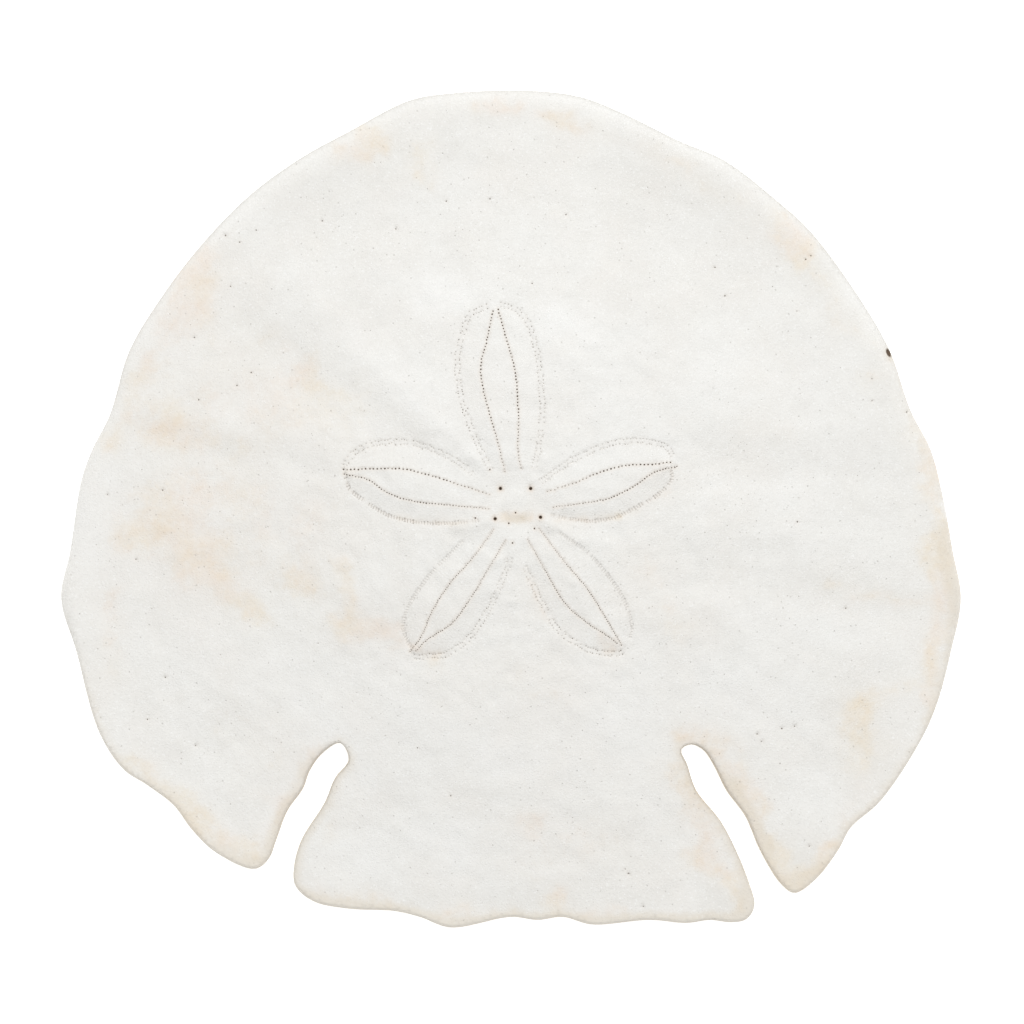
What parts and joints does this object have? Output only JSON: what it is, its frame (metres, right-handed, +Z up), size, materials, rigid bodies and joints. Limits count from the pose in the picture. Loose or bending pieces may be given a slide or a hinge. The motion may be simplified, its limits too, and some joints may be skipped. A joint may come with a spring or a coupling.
{
  "type": "sand dollar test",
  "caption": "Bleached skeleton of a flat, two-notched sand dollar with a five-petal rosette, lying on its flat underside.",
  "frame": {"origin": "on the flat underside, below the middle of the bounding box", "axes": "+Z up through the rosette, +Y towards the front edge, away from the two notches, +X to the right seen from above"},
  "size_m": [0.12, 0.1116, 0.0098],
  "materials": {
    "bleached_calcite": "matte"
  },
  "bodies": {
    "root": {"sand_dollar_test": "bleached_calcite"}
  },
  "joints": []
}
